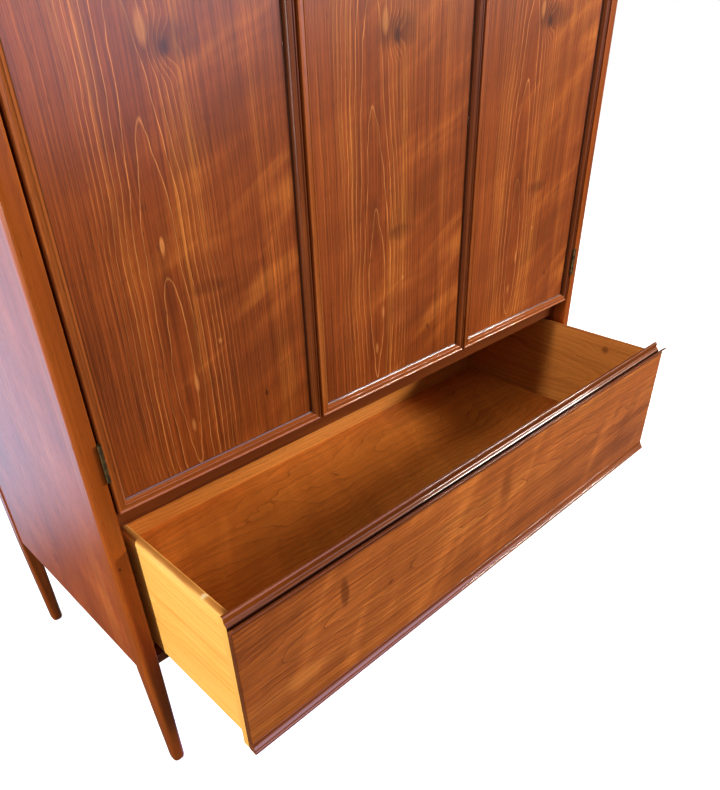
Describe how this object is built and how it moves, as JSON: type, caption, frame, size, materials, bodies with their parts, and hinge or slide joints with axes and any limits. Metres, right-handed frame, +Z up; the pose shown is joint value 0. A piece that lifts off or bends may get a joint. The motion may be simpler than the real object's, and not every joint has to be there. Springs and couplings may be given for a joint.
{
  "type": "armoire",
  "caption": "Wooden armoire on tapered legs: framed leaf doors with a folding pair above a wide deep drawer with a grip lip, shelves and hanging space inside.",
  "frame": {"origin": "on the floor, in the middle of the outline with the drawer in its open rest position", "axes": "+Z up, the front faces -Y, +X to the right seen from the front"},
  "size_m": [1.054, 0.6922, 1.6],
  "materials": {
    "post_wood": "satin lacquered solid walnut-type wood, orange-brown",
    "panel_veneer": "satin lacquered walnut-type veneer, reddish brown",
    "moulding_wood": "satin lacquered dark solid wood",
    "drawer_front_wood": "satin lacquered veneer with the grain along the width",
    "drawer_box_wood": "thin lacquer on light solid wood",
    "drawer_ply": "brown plywood with the grain along the width",
    "inside_wood": "plain wood with a thin matt lacquer",
    "aged_brass": "aged and dull"
  },
  "bodies": {
    "case": {"front_left_post": "post_wood", "front_right_post": "post_wood", "rear_left_post": "post_wood", "rear_right_post": "post_wood", "left_side_panel": "panel_veneer", "right_side_panel": "panel_veneer", "top_panel": "panel_veneer", "door_rail": "moulding_wood", "top_front_rail": "moulding_wood", "bottom_front_rail": "moulding_wood", "bottom_rear_rail": "inside_wood", "cabinet_floor": "inside_wood", "rear_cover": "inside_wood", "left_drawer_runner": "inside_wood", "right_drawer_runner": "inside_wood", "left_drawer_kicker": "inside_wood", "right_drawer_kicker": "inside_wood", "center_divider": "inside_wood", "lower_shelf": "inside_wood", "middle_shelf": "inside_wood", "upper_shelf": "inside_wood", "hat_shelf": "inside_wood", "hanging_rail": "aged_brass", "left_rail_socket": "aged_brass", "right_rail_socket": "aged_brass", "left_hinge_lower_case_half": "aged_brass", "left_hinge_upper_case_half": "aged_brass", "right_hinge_lower_case_half": "aged_brass", "right_hinge_upper_case_half": "aged_brass"},
    "left_door": {"left_door_panel": "panel_veneer", "left_door_moulding_bottom": "moulding_wood", "left_door_moulding_right": "moulding_wood", "left_door_moulding_top": "moulding_wood", "left_door_moulding_left": "moulding_wood", "left_hinge_lower_door_half": "aged_brass", "left_hinge_upper_door_half": "aged_brass"},
    "right_door": {"right_door_panel": "panel_veneer", "right_door_moulding_bottom": "moulding_wood", "right_door_moulding_right": "moulding_wood", "right_door_moulding_top": "moulding_wood", "right_door_moulding_left": "moulding_wood", "right_hinge_lower_door_half": "aged_brass", "right_hinge_upper_door_half": "aged_brass", "fold_hinge_lower_right_half": "aged_brass", "fold_hinge_upper_right_half": "aged_brass"},
    "center_door": {"center_door_panel": "panel_veneer", "center_door_moulding_bottom": "moulding_wood", "center_door_moulding_right": "moulding_wood", "center_door_moulding_top": "moulding_wood", "center_door_moulding_left": "moulding_wood", "fold_hinge_lower_center_half": "aged_brass", "fold_hinge_upper_center_half": "aged_brass"},
    "drawer": {"drawer_face": "drawer_front_wood", "drawer_front": "drawer_front_wood", "drawer_lip": "moulding_wood", "drawer_foot_moulding": "moulding_wood", "drawer_left_side": "drawer_box_wood", "drawer_right_side": "drawer_box_wood", "drawer_back": "drawer_box_wood", "drawer_bottom": "drawer_ply"}
  },
  "joints": [
    {"name": "left_door_hinge", "type": "hinge", "parent": "case", "child": "left_door", "pos_m": [-0.4985, -0.1251, 1.03], "axis": [0, 0, -1], "range_deg": [0, 170]},
    {"name": "right_door_hinge", "type": "hinge", "parent": "case", "child": "right_door", "pos_m": [0.4985, -0.1251, 1.03], "axis": [0, 0, 1], "range_deg": [0, 85]},
    {"name": "fold_hinge", "type": "hinge", "parent": "right_door", "child": "center_door", "pos_m": [0.16625, -0.098, 1.03], "axis": [0, 0, -1], "range_deg": [0, 170]},
    {"name": "drawer_slide", "type": "slide", "parent": "case", "child": "drawer", "axis": [0, -1, 0], "range_m": [-0.222, 0.08]}
  ],
  "couplings": [
    {"joint": "fold_hinge", "follows": "right_door_hinge", "ratio": 2}
  ]
}
